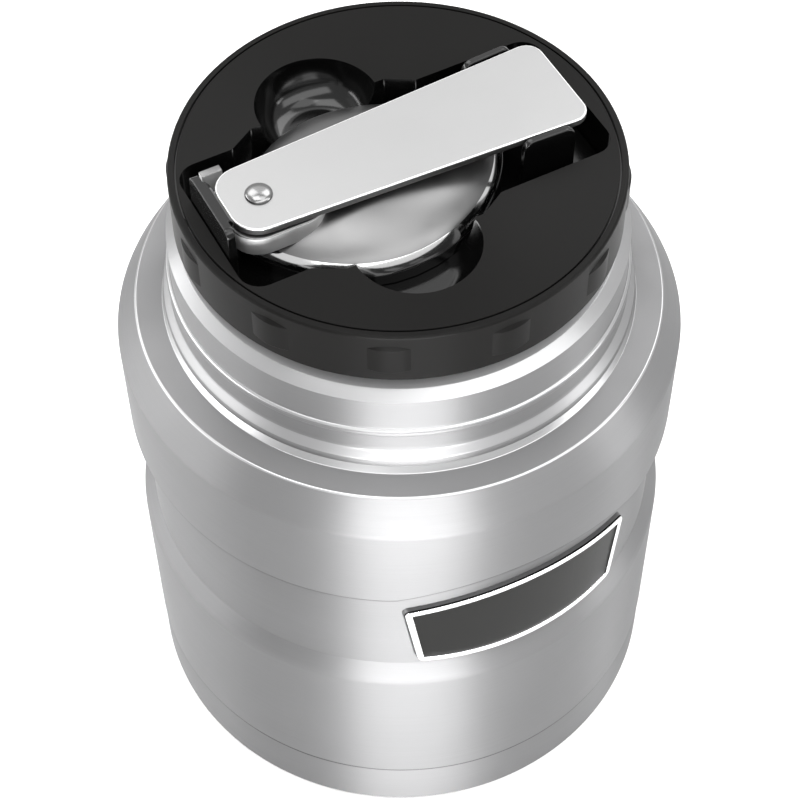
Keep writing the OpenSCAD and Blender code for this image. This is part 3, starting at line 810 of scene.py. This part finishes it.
class JARDRESS_OT_stopper(Operator):
    """Moulds the stopper's top, with its skirt, grip pads, pocket and finger dishes"""
    bl_idname = "jardress.stopper"
    bl_label = "Stopper"

    def execute(self, context):
        s = context.scene.stopper_sizes
        f = context.scene.jar_finishes
        radius, top = high("stopper_top").x - s.grip_proud, high("stopper_top").z
        foot, plug = low("stopper_top").z, high("stopper_plug").z
        inner = radius - s.skirt
        half, drop = s.groove_wide / 2, top - s.groove_deep
        groove = radius - s.groove_in
        groove_out, groove_in = groove + half, groove - half
        bm = turned(outline(
            (0, plug, 0), (inner, plug, 0), (inner, foot, 0.3 * MM), (radius, foot, 0.35 * MM),
            (radius, top, s.top_round), (groove_out, top, 0.05 * MM), (groove_out, drop, 0),
            (groove_in, drop, 0), (groove_in, top, 0.12 * MM), (0, top, 0)),
            context.scene.jar_sizes.segments)
        hollows = [self.pocket(s, top), self.dish(s, top, -1), self.dish(s, top, 1)]
        bm = combined(bm, hollows, "DIFFERENCE")
        soften(bm, s.edge,
               keep=lambda e: min(v.co.xy.length for v in e.verts) < groove_in - NEAR)
        pads = [self.grip_pad(s, radius, foot, FULL_TURN * i / s.grips - math.pi / 2)
                for i in range(s.grips)]
        bm = combined(bm, pads, "UNION")
        for face in bm.faces:
            centre = face.calc_center_median()
            inside = centre.xy.length < inner and centre.z > plug + NEAR
            face.material_index = int(inside and centre.z < top - s.edge)
        satin = moulded_plastic(
            "stopper_satin", f.moulded, roughness=0.4, gloss=0.08, grain=0.0012, anisotropy=0.8)
        finished("stopper_moulding", bm, [satin, pocket_gloss(f)], "stopper",
                 ["stopper_top"], even=True)
        return {"FINISHED"}

    @staticmethod
    def pocket(s, top):
        """The space of the spoon's pocket"""
        middle, half, wide = -s.dish_left, s.pocket_width / 2, s.waist_width / 2
        inner = s.waist_length / 2
        outer = inner + s.flare
        soft = 0.6 * MM
        back = [
            (-s.pocket_left, half, s.pocket_round), (middle - outer, half, soft),
            (middle - inner, wide, soft), (middle + inner, wide, soft),
            (middle + outer, half, soft), (s.pocket_right, half, s.pocket_round)]
        front = [(x, -y, rounding) for x, y, rounding in back]
        return slab(outline(*front, *reversed(back)), top - s.pocket_depth, top + s.pocket_depth)

    @staticmethod
    def dish(s, top, side):
        """The space of a finger dish"""
        above = top + 2 * MM
        wall = [(s.dish_floor + (s.dish_radius - s.dish_floor) * math.sin(math.radians(a)),
                 top - s.dish_depth * math.cos(math.radians(a))) for a in range(0, 91, 6)]
        profile = [(0, top - s.dish_depth), *wall, (s.dish_radius, above), (0, above)]
        return turned(profile, 96, (-s.dish_left, side * s.dish_out))

    @staticmethod
    def grip_pad(s, radius, foot, angle):
        """One grip pad, rounder than the skirt and flush with it at both ends"""
        sunk, past_end, steps = 1.1, 1.12, 16  # the slopes and ends run on inside the skirt
        half = s.grip_wide / 2
        rise = s.grip_proud + radius - math.sqrt(radius ** 2 - half ** 2)
        bulge = (half ** 2 + rise ** 2) / (2 * rise)
        axis = radius + s.grip_proud - bulge
        back = radius - 0.8 * MM
        z0 = foot + s.grip_foot
        z1 = z0 + s.grip_high
        low_end, high_end = z0 - s.grip_slope * sunk, z1 + s.grip_slope * sunk
        slope_in = bulge - s.grip_proud * sunk
        section = outline(
            (0, low_end, 0), (slope_in, low_end, 0), (bulge, z0, 0.2 * MM),
            (bulge, z1, 0.2 * MM), (slope_in, high_end, 0), (0, high_end, 0))
        reach = math.asin(half / bulge) * past_end
        turns = [reach * (2 * i / steps - 1) for i in range(steps + 1)]
        bm = bmesh.new()
        loops = [[bm.verts.new((max(axis + r * math.cos(a), back) if r else back,
                                (r or bulge) * math.sin(a), z)) for r, z in section] for a in turns]
        for one, two in zip(loops, loops[1:]):
            for i in range(len(section)):
                bm.faces.new((one[i - 1], one[i], two[i], two[i - 1]))
        bm.faces.new(loops[0])
        bm.faces.new(loops[-1])
        bmesh.ops.recalc_face_normals(bm, faces=bm.faces)
        bmesh.ops.rotate(bm, matrix=Matrix.Rotation(angle, 3, "Z"), verts=bm.verts)
        return bm


class JARDRESS_OT_pocket_insert(Operator):
    """Moulds the insert in the pocket: its two clips, its hook and its ledge"""
    bl_idname = "jardress.pocket_insert"
    bl_label = "Pocket insert"

    def execute(self, context):
        s = context.scene.stopper_sizes
        cradle = bmesh.new()
        cradle.from_mesh(frame["nodes"]["spoon_cradle"].data)
        bmesh.ops.remove_doubles(cradle, verts=cradle.verts, dist=MERGE)
        soften(cradle, s.cradle_edge)
        gloss = [pocket_gloss(context.scene.jar_finishes)]
        tilt = self.clip_tilt(context.scene.spoon_sizes)
        for name, bm, node in (
                ("clip_front_moulding", self.clip(s, "clip_front", tilt), "clip_front"),
                ("clip_back_moulding", self.clip(s, "clip_back", tilt), "clip_back"),
                ("hook_moulding", self.hook(s), "end_hook"),
                ("cradle_moulding", cradle, "spoon_cradle")):
            finished(name, bm, gloss, "stopper", [node], even=True)
        return {"FINISHED"}

    @staticmethod
    def clip_tilt(spoon):
        """Angle between the handle's edge and its middle line"""
        across = high("spoon_handle").x - low("spoon_handle").x
        return math.atan2(spoon.far_half - spoon.near_half, across)

    @staticmethod
    def clip(s, node, tilt):
        """An upright plate with two rounded upper corners, turned along the handle's edge"""
        a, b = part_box(node)
        half = (b.x - a.x) / 2 / math.cos(tilt) - s.clip_thick / 2 * math.tan(tilt)
        height = b.z - a.z
        bm = slab(outline(
            (-half, 0, 0), (half, 0, 0), (half, height, s.clip_round),
            (-half, height, s.clip_round)), -s.clip_thick / 2, s.clip_thick / 2)
        soften(bm, s.insert_edge, keep=lambda e: max(v.co.y for v in e.verts) > MERGE)
        upright = Matrix.Rotation(math.pi / 2, 4, "X")
        side = 1 if (a.y + b.y) > 0 else -1
        turn = Matrix.Rotation(side * tilt, 4, "Z")
        shift = Matrix.Translation(((a.x + b.x) / 2, (a.y + b.y) / 2, a.z))
        bmesh.ops.transform(bm, matrix=shift @ turn @ upright, verts=bm.verts)
        return bm

    @staticmethod
    def hook(s):
        """The plate at the pocket's end and the tongue that reaches over the handle"""
        a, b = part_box("end_hook")
        plate = slab(outline(
            (a.y, a.z, 0), (b.y, a.z, 0), (b.y, b.z, s.hook_round), (a.y, b.z, s.hook_round)),
            a.x, a.x + s.hook_thick)
        stand = Matrix(((0, 0, 1, 0), (1, 0, 0, 0), (0, 1, 0, 0), (0, 0, 0, 1)))
        bmesh.ops.transform(plate, matrix=stand, verts=plate.verts)
        x, thick = a.x + s.hook_thick, s.tongue_thick
        root, flat, tip_down = x - 0.4 * MM, x + 0.3 * MM, b.z - thick * 0.6
        tongue = slab([
            (root, b.z), (flat, b.z), (b.x, tip_down), (b.x, b.z - thick), (root, b.z - thick)],
            -s.tongue_width / 2, s.tongue_width / 2)
        upright = Matrix.Rotation(math.pi / 2, 4, "X")
        bmesh.ops.transform(tongue, matrix=upright, verts=tongue.verts)
        bm = combined(plate, [tongue], "UNION")
        soften(bm, s.insert_edge, keep=lambda e: max(v.co.z for v in e.verts) > a.z + MERGE)
        return bm


# ---- Pieces of the spoon ----

class JARDRESS_OT_spoon_bowl(Operator):
    """Presses the spoon's bowl with its raised tang and stop tab"""
    bl_idname = "jardress.spoon_bowl"
    bl_label = "Spoon bowl"

    def execute(self, context):
        s = context.scene.spoon_sizes
        f = context.scene.jar_finishes
        past_rim = 1 * MM
        bm = combined(self.dome(s, 0, s.rim), [self.tang(s), self.tab(s)], "UNION")
        bm = combined(bm, [self.dome(s, s.sheet, s.rim + past_rim)], "DIFFERENCE")
        highlight_top = low("spoon_bowl").z + s.rim_highlight
        for face in bm.faces:
            height = face.calc_center_median().z
            # painted highlight: the faces low round the rim take a brighter, glossier steel, partly real polish
            if face.normal.z > 0 and height < highlight_top:
                face.material_index = 1
            # painted light: the steep walls of the tang and the tab take a lighter steel
            elif abs(face.normal.z) < 0.5 and height > highlight_top:
                face.material_index = 2
        steels = [
            polished_steel("bowl_steel", f.bowl, roughness=0.36),
            polished_steel("bowl_rim_highlight_steel", shade(f.bowl, 4.0), roughness=0.12),
            polished_steel("tang_wall_painted_light", shade(f.bowl, 3.5), roughness=0.6)]
        finished("spoon_pressing", bm, steels, "spoon", ["spoon_bowl"], 35)
        return {"FINISHED"}

    @staticmethod
    def dome(s, wall, foot):
        """The bowl's outside lying upside down, shaped from half a sphere, or inside its wall"""
        pointed, full = 1.4, 0.6  # with 1 and 0.5 the bowl would be half an ellipsoid
        rim = low("spoon_bowl").z + s.rim
        half_width = high("spoon_bowl").y
        depth = s.bowl_depth - s.rim - wall
        scale = 1 - wall / half_width
        tip = high("spoon_handle").x - s.bowl_tip
        near = low("spoon_handle").x + 1.2 * MM
        middle = near + s.bowl_left
        bm = bmesh.new()
        bmesh.ops.create_uvsphere(bm, u_segments=128, v_segments=96, radius=1.0)
        lower = [v for v in bm.verts if v.co.z < -MERGE]
        bmesh.ops.delete(bm, geom=lower, context="VERTS")
        for v in bm.verts:
            k = min(1.0, v.co.xy.length)
            a = math.atan2(v.co.y, v.co.x)
            reach = tip - middle if math.cos(a) > 0 else s.bowl_left
            x = middle + scale * k * math.cos(a) * reach
            across = half_width * abs(math.sin(a)) ** pointed
            y = scale * k * math.copysign(across, math.sin(a))
            v.co = (x, y, rim + depth * (1 - k ** 2) ** full)
        edge = [e for e in bm.edges if e.is_boundary]
        down = bmesh.ops.extrude_edge_only(bm, edges=edge)
        verts = [v for v in down["geom"] if isinstance(v, bmesh.types.BMVert)]
        bmesh.ops.translate(bm, vec=(0, 0, -foot), verts=verts)
        bmesh.ops.holes_fill(bm, edges=[e for e in bm.edges if e.is_boundary], sides=0)
        bmesh.ops.recalc_face_normals(bm, faces=bm.faces)
        return bm

    @staticmethod
    def tang(s):
        """The raised flat that carries the rivet"""
        x0, top = low("spoon_bowl").x, low("spoon_washer").z
        x1, half, r = x0 + s.tang_length, s.tang_half, s.tang_round
        bm = slab(outline((x0, -half, r), (x1, -half, r), (x1, half, r), (x0, half, r)),
                  top - s.tang_thick, top)
        soften(bm, s.tang_edge, keep=lambda e: min(v.co.z for v in e.verts) > top - NEAR)
        return bm

    @staticmethod
    def tab(s):
        """The block that the unfolded handle comes to rest against"""
        inset, gap, tall, bare = 0.2 * MM, 0.96 * MM, 3.6 * MM, 1 * MM
        x0, y0 = low("spoon_bowl").x + inset, s.near_half + gap
        x1, y1 = x0 + s.tab_length, y0 + s.tab_thick
        top = high("spoon_bowl").z
        bm = slab([(x0, y0), (x1, y0), (x1, y1), (x0, y1)], top - tall, top)
        soften(bm, s.tab_edge, keep=lambda e: max(v.co.z for v in e.verts) > top - bare)
        return bm


class JARDRESS_OT_spoon_handle(Operator):
    """Stamps the flat folding handle"""
    bl_idname = "jardress.spoon_handle"
    bl_label = "Spoon handle"

    def execute(self, context):
        s = context.scene.spoon_sizes
        f = context.scene.jar_finishes
        a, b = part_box("spoon_handle")
        bm = slab(outline(
            (a.x, -s.near_half, s.near_round), (b.x, -s.far_half, s.far_round),
            (b.x, s.far_half, s.far_round), (a.x, s.near_half, s.near_round)), a.z, b.z)
        below, above = a.z - 1 * MM, b.z + 1 * MM
        hole = turned([(0, below), (s.hole, below), (s.hole, above), (0, above)], 48, pivot())
        bm = combined(bm, [hole], "DIFFERENCE")
        soften(bm, s.edge)
        # painted highlight: the rounded edges take a brighter steel
        for face in bm.faces:
            face.material_index = int(0.2 < face.normal.z < LEVEL)
        steels = [brushed_handle("handle_steel", f.handle, roughness=0.34),
                  polished_steel("handle_edge_highlight", shade(f.handle, 2.6), roughness=0.4)]
        finished("handle_blank", bm, steels, "handle", ["spoon_handle"], even=True)
        return {"FINISHED"}


class JARDRESS_OT_spoon_rivet(Operator):
    """Turns the rivet with its domed head"""
    bl_idname = "jardress.spoon_rivet"
    bl_label = "Spoon rivet"

    def execute(self, context):
        s = context.scene.spoon_sizes
        a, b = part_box("spoon_rivet")
        clearance, foot_high = 0.05 * MM, 0.6 * MM
        foot, shank = (b.x - a.x) / 2, s.hole - clearance
        head = b.z - s.head_high
        dome = [(s.head * math.cos(math.radians(t)), head + s.head_high * math.sin(math.radians(t)))
                for t in range(0, 91, 6)]
        bm = turned([
            (0, a.z), (foot, a.z), (foot, a.z + foot_high), (shank, a.z + foot_high),
            (shank, head), *dome], 64, pivot())
        bright = polished_steel("rivet_steel", context.scene.jar_finishes.rivet, roughness=0.2)
        finished("rivet_turned", bm, [bright], "spoon", ["spoon_rivet"], 35)
        return {"FINISHED"}


class JARDRESS_OT_hidden_pieces(Operator):
    """Gives the frame's own hidden pieces their finish"""
    bl_idname = "jardress.hidden_pieces"
    bl_label = "Hidden pieces"

    def execute(self, context):
        f = context.scene.jar_finishes
        plug = moulded_plastic("plug_black", f.moulded, roughness=0.36, gloss=0.4, grain=0.002)
        finishes = {
            "vacuum_base": turned_steel("rolled_steel", shade(f.body, 1.2), 0.32, 0.0),
            "vacuum_plug": polished_steel("solder", (0.5, 0.5, 0.52), 0.35),
            "getter": soft_plastic("getter_pellet", (0.12, 0.12, 0.13), 0.7, 2500),
            "heat_shield": polished_steel("copper_foil", (0.75, 0.42, 0.27), 0.2),
            "seal_gasket": soft_plastic("silicone", (0.5, 0.5, 0.51), 0.45, 900),
            "stopper_foam": soft_plastic("foam", (0.85, 0.84, 0.78), 0.85, 1500),
            "stopper_plug": plug,
            "plug_cover": plug,
            "spoon_washer": polished_steel("washer_steel", f.handle, 0.25)}
        for node, material in finishes.items():
            mesh = frame["nodes"][node].data
            mesh.materials.clear()
            mesh.materials.append(material)
        return {"FINISHED"}


# ---- Stage ----

# Strips that stand on the floor: name, setting of the radiance, turn from the camera in degrees,
# width in metres.
STRIPS = (
    ("front_light", "front", 3, 0.42),
    ("left_light", "left", -104, 0.5),
    ("side_light", "side", -66, 0.2),
    ("right_light", "right", 78, 0.18))
# Soft boxes 1 metre away: name, setting of the radiance and share of it, turn from the camera and
# rise in degrees, width and height in metres.
BOXES = (
    ("back_light", "back", 1.0, 180, 48, (1.8, 0.7)),
    ("rear_left_light", "rear", 0.8, -140, 50, (0.5, 0.5)),
    ("rear_right_light", "rear", 1.0, 140, 50, (0.5, 0.5)),
    ("slope_left_light", "slope", 1.0, -90, 17, (1.0, 0.22)),
    ("slope_right_light", "slope", 1.0, 80, 17, (0.3, 0.22)),
    ("bevel_light", "bevel", 1.0, -98, 38, (0.9, 0.25)),
    ("crown_light", "top", 0.6, 70, 74, (0.5, 0.5)),
    ("top_light", "top", 1.0, -80, 78, (0.5, 0.5)),
    ("over_light", "over", 1.0, 31, 50, (1.8, 0.4)))
BOX_AIM = 0.1  # height in metres of the point that the soft boxes face


class JARDRESS_OT_stage(Operator):
    """Sets the floor, the white surround, the soft lights and the camera"""
    bl_idname = "jardress.stage"
    bl_label = "Stage"

    def execute(self, context):
        studio = context.scene.jar_studio
        self.floor()
        self.surround(context.scene, studio)
        for name, setting, turn, width in STRIPS:
            away = direction(studio.azimuth + math.radians(turn), 0) * studio.strip_away
            self.lamp(name, away, (width, studio.strip_high), studio.strip_high / 2,
                      getattr(studio, setting))
        for name, setting, part, turn, rise, size in BOXES:
            away = direction(studio.azimuth + math.radians(turn), math.radians(rise))
            self.lamp(name, away, size, BOX_AIM, getattr(studio, setting) * part)
        self.camera(context.scene, studio)
        context.scene.view_settings.view_transform = "Standard"
        return {"FINISHED"}

    @staticmethod
    def floor():
        """A wide pale floor that shows white to the camera but keeps the shadow"""
        white, matte, own_light, half_width = (0.9, 0.9, 0.9), 0.9, 0.08, 3.0
        bm = bmesh.new()
        bmesh.ops.create_grid(bm, x_segments=1, y_segments=1, size=half_width)
        floor = linked("floor", bm)
        s = Shader("floor_white", white, matte)
        s.set("Specular IOR Level", 0.0)
        s.set("Emission Color", (1.0, 1.0, 1.0, 1.0))
        lift = add_node(s.tree, "Math", {0: seen_rays(s.tree), 1: own_light}, operation="MULTIPLY")
        s.set("Emission Strength", lift.outputs[0])
        floor.data.materials.append(s.material)

    @staticmethod
    def surround(scene, studio):
        """White to the eye and in reflections, and an even light on the jar"""
        scene.world = bpy.data.worlds.new("surround")
        scene.world.use_nodes = True
        tree = scene.world.node_tree
        strength = add_node(
            tree, "MapRange", {"Value": seen_rays(tree), "To Min": studio.sky, "To Max": 1.0})
        background = tree.nodes["Background"]
        give(background.inputs["Color"], (1.0, 1.0, 1.0, 1.0))
        give(background.inputs["Strength"], strength.outputs["Result"])

    @staticmethod
    def lamp(name, away, size, height, brightness):
        """A soft rectangular light that faces the axis"""
        data = bpy.data.lights.new(name, "AREA")
        data.shape = "RECTANGLE"
        data.size, data.size_y = size
        data.energy = brightness * math.pi * size[0] * size[1]
        lamp = bpy.data.objects.new(name, data)
        bpy.context.scene.collection.objects.link(lamp)
        lamp.location = away + Vector((0, 0, height))
        lamp.rotation_euler = away.to_track_quat("Z", "Y").to_euler()
        lamp.visible_camera = False

    @staticmethod
    def camera(scene, studio):
        """The camera of the jar's portrait"""
        data = bpy.data.cameras.new("camera")
        data.lens = studio.lens
        data.clip_start = 0.01
        camera = bpy.data.objects.new("camera", data)
        scene.collection.objects.link(camera)
        back = direction(studio.azimuth, studio.elevation)
        camera.location = Vector((0, 0, studio.aim)) + back * studio.distance
        camera.rotation_mode = "QUATERNION"
        camera.rotation_quaternion = (
            (-back).to_track_quat("-Z", "Y") @ Quaternion((0, 0, 1), studio.roll))
        scene.camera = camera


def direction(azimuth, elevation):
    """Unit vector from the jar towards an azimuth and elevation."""
    return Vector((
        math.sin(azimuth) * math.cos(elevation), -math.cos(azimuth) * math.cos(elevation),
        math.sin(elevation)))


# ---- Panel and registration ----

OPERATORS = [
    JARDRESS_OT_outer_shell, JARDRESS_OT_base_cup, JARDRESS_OT_inner_flask, JARDRESS_OT_badge,
    JARDRESS_OT_stopper, JARDRESS_OT_pocket_insert, JARDRESS_OT_spoon_bowl,
    JARDRESS_OT_spoon_handle, JARDRESS_OT_spoon_rivet, JARDRESS_OT_hidden_pieces, JARDRESS_OT_stage]
GROUPS = {
    "jar_sizes": JarSizes, "badge_sizes": BadgeSizes, "stopper_sizes": StopperSizes,
    "spoon_sizes": SpoonSizes, "jar_finishes": Finishes, "jar_studio": Studio}


class JARDRESS_PT_panel(Panel):
    """The sidebar panel with every size, colour and piece"""
    bl_idname = "JARDRESS_PT_panel"
    bl_label = "Food Jar"
    bl_space_type = "VIEW_3D"
    bl_region_type = "UI"
    bl_category = "Food Jar"

    def draw(self, context):
        for operator in OPERATORS:
            self.layout.operator(operator.bl_idname)
        for attribute in GROUPS:
            box = self.layout.box()
            group = getattr(context.scene, attribute)
            for name in group.bl_rna.properties.keys():
                if name not in {"rna_type", "name"}:
                    box.prop(group, name)


CLASSES = [*GROUPS.values(), *OPERATORS, JARDRESS_PT_panel]


def register():
    for cls in CLASSES:
        bpy.utils.register_class(cls)
    for attribute, group in GROUPS.items():
        setattr(bpy.types.Scene, attribute, PointerProperty(type=group))


def unregister():
    for attribute in GROUPS:
        delattr(bpy.types.Scene, attribute)
    for cls in reversed(CLASSES):
        bpy.utils.unregister_class(cls)


def main():
    register()
    for operator in OPERATORS:
        group, name = operator.bl_idname.split(".")
        getattr(getattr(bpy.ops, group), name)()


if __name__ == "__main__":
    main()
